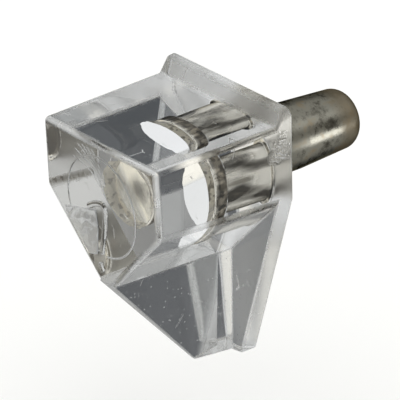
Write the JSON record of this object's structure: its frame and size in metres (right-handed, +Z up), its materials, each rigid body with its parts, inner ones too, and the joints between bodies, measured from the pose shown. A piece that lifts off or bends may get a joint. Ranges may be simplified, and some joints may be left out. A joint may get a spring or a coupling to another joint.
{
  "type": "shelf support pin",
  "caption": "Clear moulded shelf support: a blocky bracket with a back plate, lip and under-rib, set on a round steel pin that plugs into a cabinet wall.",
  "frame": {"origin": "on the pin's axis, at the back face of the plate, which is the face that meets the cabinet wall", "axes": "+Y along the pin into the wall, +Z up towards the shelf, +X across the bracket"},
  "size_m": [0.0132, 0.0224, 0.0206],
  "materials": {
    "clear_plastic": "clear injection-moulded plastic, glossy, with flow lines and a few scratches",
    "plated_steel": "nickel-plated steel, a little dulled and mottled where it stands out"
  },
  "bodies": {
    "root": {"bracket": "clear_plastic", "pin": "plated_steel"}
  },
  "joints": []
}
